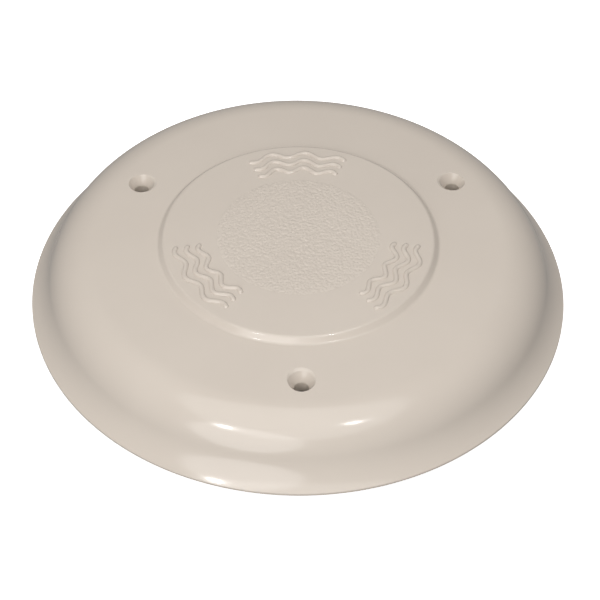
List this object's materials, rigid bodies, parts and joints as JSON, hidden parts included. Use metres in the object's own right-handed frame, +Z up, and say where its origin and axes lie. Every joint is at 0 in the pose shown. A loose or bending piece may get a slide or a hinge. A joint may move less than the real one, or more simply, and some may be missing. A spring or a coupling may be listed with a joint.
{
  "type": "deck ventilator",
  "caption": "Low-profile round deck ventilator with a flared cream cap, countersunk fixing holes and a screw-down valve worked by a knob from below",
  "frame": {"origin": "centre of the deck screw circle on the deck plane, which is the underside of the gasket", "axes": "+Z up out of the deck along the throat's axis; one deck screw lies towards -Y and the other two at 30 and 150 degrees from +X"},
  "size_m": [0.22, 0.22, 0.0474],
  "materials": {
    "cream_plastic": "glossy moulded cream acrylic-faced plastic with a pebble-grained pad in the middle",
    "base_plastic": "satin moulded plastic, as moulded",
    "black_rubber": "matt closed-cell and moulded EPDM rubber",
    "stainless": "bright turned stainless steel",
    "mesh_steel": "fine woven stainless wire",
    "bronze": "turned bronze",
    "acetal": "natural white acetal",
    "spring_steel": "plain spring-temper stainless",
    "knob_plastic": "dark grey fine-textured nylon"
  },
  "bodies": {
    "base": {"cap_crown": "cream_plastic", "cap_skirt": "cream_plastic", "deck_flange": "base_plastic", "throat_collar": "base_plastic", "screw_pillars": "base_plastic", "cap_posts": "base_plastic", "deck_gasket": "black_rubber", "clamp_sleeves": "stainless", "boss_seals": "black_rubber", "cap_screws": "stainless", "screen_frame": "base_plastic", "insect_mesh": "mesh_steel", "valve_spider": "base_plastic", "spider_screws": "stainless", "guide_pins": "stainless", "spindle_bush": "bronze"},
    "actuator": {"spindle": "stainless", "lower_washer": "acetal", "upper_washer": "acetal", "spindle_clip": "spring_steel", "stop_clip": "spring_steel", "control_knob": "knob_plastic", "knob_screw": "stainless"},
    "valve": {"valve_disc": "base_plastic", "lift_nut": "bronze", "valve_seal": "black_rubber"}
  },
  "joints": [
    {"name": "knob_turn", "type": "hinge", "parent": "base", "child": "actuator", "pos_m": [0, 0, 0.02], "axis": [0, 0, -1], "range_deg": [0, 1224]},
    {"name": "valve_lift", "type": "slide", "parent": "base", "child": "valve", "axis": [0, 0, 1], "range_m": [0, 0.0102]}
  ],
  "couplings": [
    {"joint": "knob_turn", "follows": "valve_lift", "rad_per_m": 2094.4}
  ]
}
